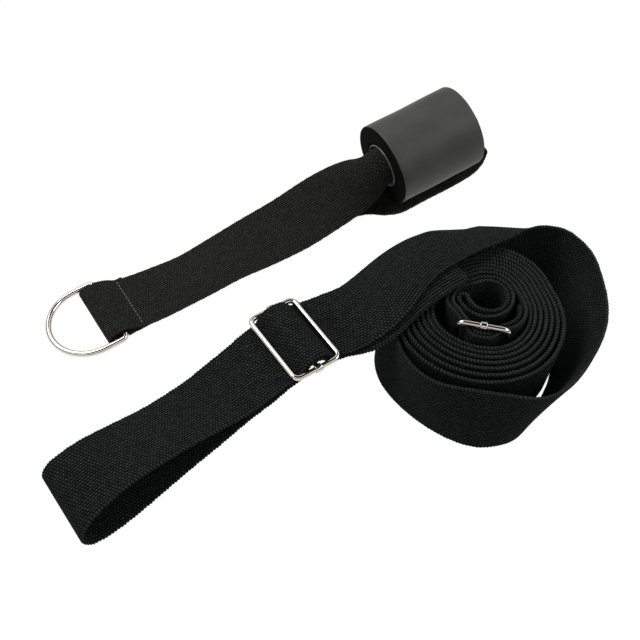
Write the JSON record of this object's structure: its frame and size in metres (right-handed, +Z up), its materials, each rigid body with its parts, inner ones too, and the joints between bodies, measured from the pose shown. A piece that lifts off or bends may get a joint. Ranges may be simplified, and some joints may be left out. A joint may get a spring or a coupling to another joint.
{
  "type": "door stretching strap",
  "caption": "Webbing stretching strap with a buckled foot loop, its other end coiled on edge, beside a door anchor of webbing with a foam roll and a D-ring.",
  "frame": {"origin": "middle of the footprint, on the table", "axes": "+X along both straps, from the foot loop and the D-ring towards the coil and the foam roll; +Y across them, from the long strap towards the door anchor; +Z up from the table"},
  "size_m": [0.3113, 0.2096, 0.0544],
  "materials": {
    "strap_cloth": "matte black woven cotton webbing with a slight blue-green cast",
    "anchor_cloth": "black ribbed nylon webbing with a slight sheen",
    "nickel_plate": "bright nickel-plated wire",
    "roll_foam": "charcoal closed-cell foam with a smooth skin",
    "liner_plastic": "dark grey tube with a paler cut rim",
    "sewing_thread": "black sewing thread"
  },
  "bodies": {
    "long_strap": {"strap_front_loop": "strap_cloth", "strap_outer_turn": "strap_cloth", "strap_coil": "strap_cloth", "front_slider_frame": "nickel_plate", "rear_slider_frame": "nickel_plate"},
    "front_bar": {"front_slider_bar": "nickel_plate"},
    "rear_bar": {"rear_slider_bar": "nickel_plate"},
    "door_anchor": {"anchor_webbing": "anchor_cloth", "anchor_ring_stitching": "sewing_thread"},
    "ring": {"d_ring": "nickel_plate"},
    "roll": {"foam_roll": "roll_foam", "roll_liner_tube": "liner_plastic"}
  },
  "joints": [
    {"name": "front_bar_slide", "type": "slide", "parent": "long_strap", "child": "front_bar", "axis": [0.9997, -0.0262, 0], "range_m": [-0.001, 0.001]},
    {"name": "rear_bar_slide", "type": "slide", "parent": "long_strap", "child": "rear_bar", "axis": [0.6691, -0.7431, 0], "range_m": [-0.001, 0.001]},
    {"name": "anchor_carry", "type": "slide", "parent": "long_strap", "child": "door_anchor", "axis": [0, 1, 0], "range_m": [0, 0.3]},
    {"name": "ring_swing", "type": "hinge", "parent": "door_anchor", "child": "ring", "pos_m": [-0.08141, 0.08161, 0.004], "axis": [0.0576, 0.9983, 0], "range_deg": [0, 135]},
    {"name": "roll_spin", "type": "hinge", "parent": "door_anchor", "child": "roll", "pos_m": [0.08299, 0.06791, 0.0261], "axis": [0.992, -0.0711, 0.1045], "continuous": true}
  ]
}
